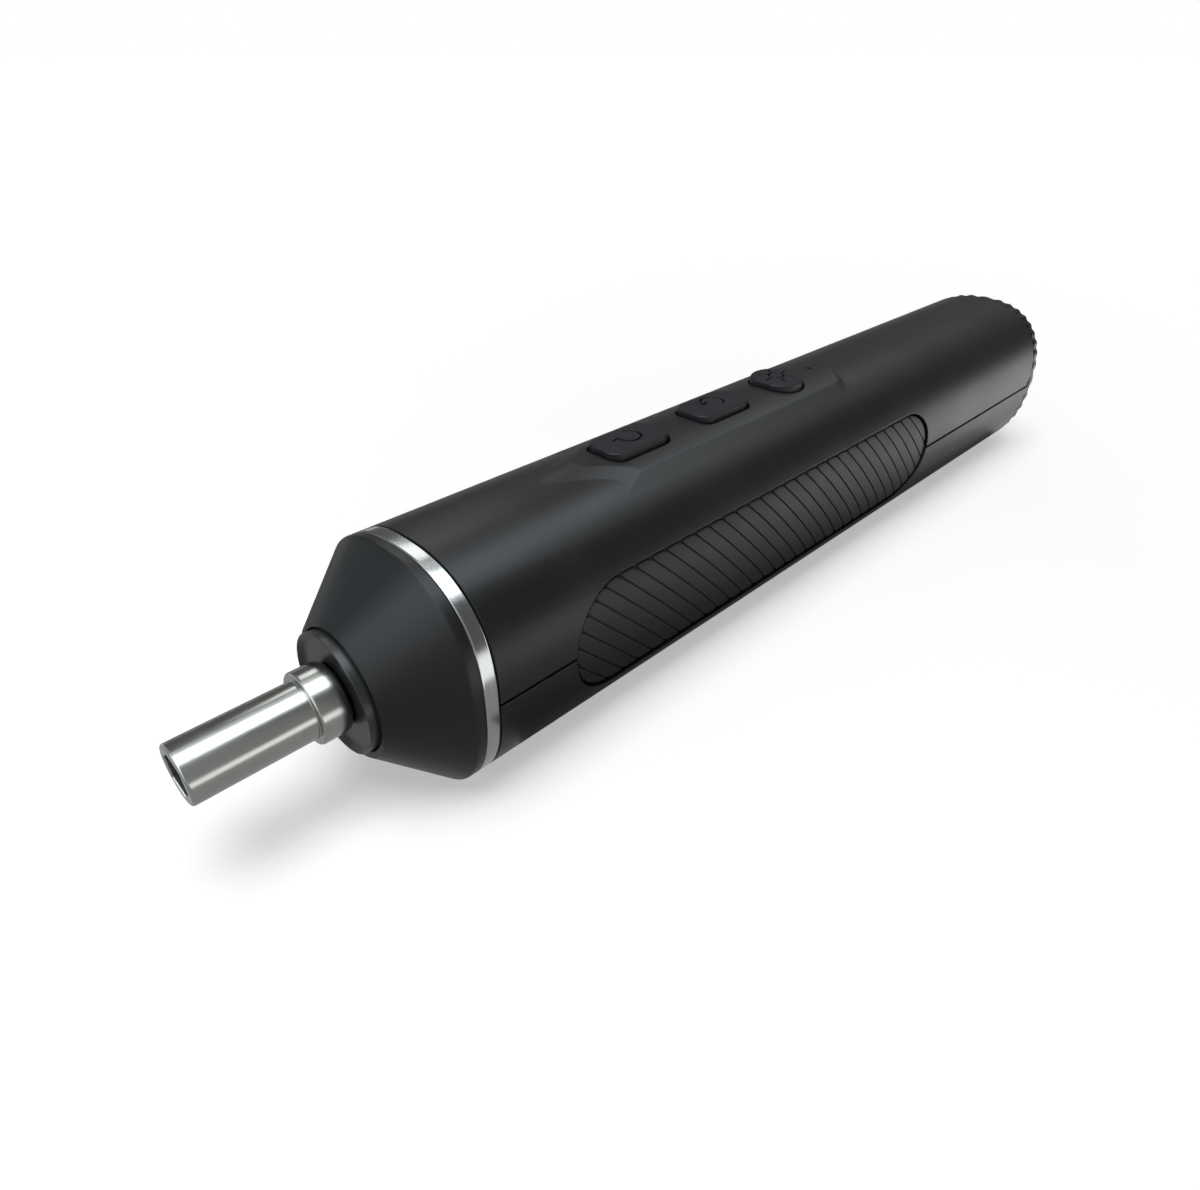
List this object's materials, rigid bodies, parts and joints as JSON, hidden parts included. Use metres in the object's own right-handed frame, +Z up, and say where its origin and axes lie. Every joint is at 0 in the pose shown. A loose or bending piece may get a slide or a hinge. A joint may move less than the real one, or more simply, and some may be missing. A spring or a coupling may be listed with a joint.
{
  "type": "cordless screwdriver",
  "caption": "Straight cordless screwdriver with a hexagon bit holder, nose light ring, metal trim band, ribbed side grips, top buttons, planetary gearbox and fluted tail.",
  "frame": {"origin": "centre of the overall box in plan, on the flat belly it lies on", "axes": "+X from the bit holder's mouth to the tail, +Y to the tool's side away from the one the picture shows, +Z up through the buttons"},
  "size_m": [0.2496, 0.04, 0.0444],
  "materials": {
    "handle_black": "satin moulded ABS, finely textured",
    "tail_black": "satin moulded ABS",
    "ring_satin": "fine turned satin aluminium",
    "grip_rubber": "soft moulded rubber with shingle ribs",
    "button_black": "moulded silicone rubber",
    "lens_smoke": "smoked polycarbonate, polished",
    "holder_steel": "satin nickel plate on turned steel",
    "magnet_nickel": "nickel plate",
    "shaft_steel": "ground",
    "gear_steel": "sintered, oiled",
    "case_alloy": "die cast",
    "bush_bronze": "sintered bronze",
    "can_steel": "zinc plated",
    "arc_ferrite": "ground ferrite",
    "rotor_iron": "laminations with copper windings",
    "brush_brass": "stamped",
    "cap_nylon": "moulded nylon",
    "screw_zinc": "zinc plated",
    "cell_sleeve": "shrink sleeve over a steel can",
    "tab_nickel": "nickel strip",
    "board_green": "solder mask on glass epoxy",
    "led_white": "epoxy",
    "pipe_clear": "smoked acrylic",
    "port_steel": "stamped stainless steel",
    "lead_red": "silicone insulation"
  },
  "bodies": {
    "housing": {"upper_shell": "handle_black", "lower_shell": "handle_black", "nose_cone": "handle_black", "tail_cap": "tail_black", "trim_ring": "ring_satin", "right_grip": "grip_rubber", "left_grip": "grip_rubber", "light_lens": "lens_smoke", "ring_gear": "gear_steel", "thrust_washer": "gear_steel", "gear_case": "case_alloy", "gear_plate": "case_alloy", "front_bush": "bush_bronze", "motor_bushes": "bush_bronze", "motor_can": "can_steel", "motor_magnets": "arc_ferrite", "motor_brushes": "brush_brass", "motor_terminals": "brush_brass", "motor_end_cap": "cap_nylon", "switch_bodies": "cap_nylon", "motor_screws": "screw_zinc", "board_screws": "screw_zinc", "housing_screws": "screw_zinc", "battery_cell": "cell_sleeve", "battery_tabs": "tab_nickel", "control_board": "board_green", "charge_board": "board_green", "light_board": "board_green", "light_leds": "led_white", "indicator_led": "led_white", "light_pipe": "pipe_clear", "charge_socket": "port_steel", "motor_leads": "lead_red", "battery_leads": "lead_red", "charge_leads": "lead_red", "lamp_leads": "lead_red"},
    "rotor": {"motor_rotor": "rotor_iron", "motor_shaft": "shaft_steel", "motor_pinion": "gear_steel"},
    "carrier": {"carrier_1": "gear_steel", "stage_1_pins": "shaft_steel"},
    "planet_1a": {"planet_1a": "gear_steel"},
    "planet_1b": {"planet_1b": "gear_steel"},
    "planet_1c": {"planet_1c": "gear_steel"},
    "spindle": {"bit_holder": "holder_steel", "bit_magnet": "magnet_nickel", "output_shaft": "shaft_steel", "retaining_clip": "shaft_steel", "stage_2_pins": "shaft_steel"},
    "planet_2a": {"planet_2a": "gear_steel"},
    "planet_2b": {"planet_2b": "gear_steel"},
    "planet_2c": {"planet_2c": "gear_steel"},
    "forward_key": {"forward_button": "button_black", "forward_plunger": "cap_nylon"},
    "reverse_key": {"reverse_button": "button_black", "reverse_plunger": "cap_nylon"},
    "lamp_key": {"lamp_button": "button_black", "lamp_plunger": "cap_nylon"}
  },
  "joints": [
    {"name": "motor_spin", "type": "hinge", "parent": "housing", "child": "rotor", "pos_m": [-0.0498, 0, 0.0216], "axis": [1, 0, 0], "continuous": true},
    {"name": "carrier_spin", "type": "hinge", "parent": "housing", "child": "carrier", "pos_m": [-0.0748, 0, 0.0216], "axis": [1, 0, 0], "continuous": true},
    {"name": "spindle_spin", "type": "hinge", "parent": "housing", "child": "spindle", "pos_m": [-0.1048, 0, 0.0216], "axis": [1, 0, 0], "continuous": true},
    {"name": "planet_1a_spin", "type": "hinge", "parent": "carrier", "child": "planet_1a", "pos_m": [-0.0704, 0.00675, 0.0216], "axis": [1, 0, 0], "continuous": true},
    {"name": "planet_1b_spin", "type": "hinge", "parent": "carrier", "child": "planet_1b", "pos_m": [-0.0704, -0.00337, 0.02745], "axis": [1, 0, 0], "continuous": true},
    {"name": "planet_1c_spin", "type": "hinge", "parent": "carrier", "child": "planet_1c", "pos_m": [-0.0704, -0.00337, 0.01575], "axis": [1, 0, 0], "continuous": true},
    {"name": "planet_2a_spin", "type": "hinge", "parent": "spindle", "child": "planet_2a", "pos_m": [-0.081, 0.00675, 0.0216], "axis": [1, 0, 0], "continuous": true},
    {"name": "planet_2b_spin", "type": "hinge", "parent": "spindle", "child": "planet_2b", "pos_m": [-0.081, -0.00337, 0.02745], "axis": [1, 0, 0], "continuous": true},
    {"name": "planet_2c_spin", "type": "hinge", "parent": "spindle", "child": "planet_2c", "pos_m": [-0.081, -0.00337, 0.01575], "axis": [1, 0, 0], "continuous": true},
    {"name": "forward_press", "type": "slide", "parent": "housing", "child": "forward_key", "axis": [0, 0, -1], "range_m": [0, 0.0006], "stiffness_N_per_m": 2000, "springref_m": -0.0004},
    {"name": "reverse_press", "type": "slide", "parent": "housing", "child": "reverse_key", "axis": [0, 0, -1], "range_m": [0, 0.0006], "stiffness_N_per_m": 2000, "springref_m": -0.0004},
    {"name": "lamp_press", "type": "slide", "parent": "housing", "child": "lamp_key", "axis": [0, 0, -1], "range_m": [0, 0.0006], "stiffness_N_per_m": 2000, "springref_m": -0.0004}
  ],
  "couplings": [
    {"joint": "carrier_spin", "follows": "motor_spin", "ratio": 0.16667},
    {"joint": "spindle_spin", "follows": "motor_spin", "ratio": 0.027778},
    {"joint": "planet_1a_spin", "follows": "motor_spin", "ratio": -0.41667},
    {"joint": "planet_1b_spin", "follows": "motor_spin", "ratio": -0.41667},
    {"joint": "planet_1c_spin", "follows": "motor_spin", "ratio": -0.41667},
    {"joint": "planet_2a_spin", "follows": "motor_spin", "ratio": -0.069444},
    {"joint": "planet_2b_spin", "follows": "motor_spin", "ratio": -0.069444},
    {"joint": "planet_2c_spin", "follows": "motor_spin", "ratio": -0.069444}
  ]
}
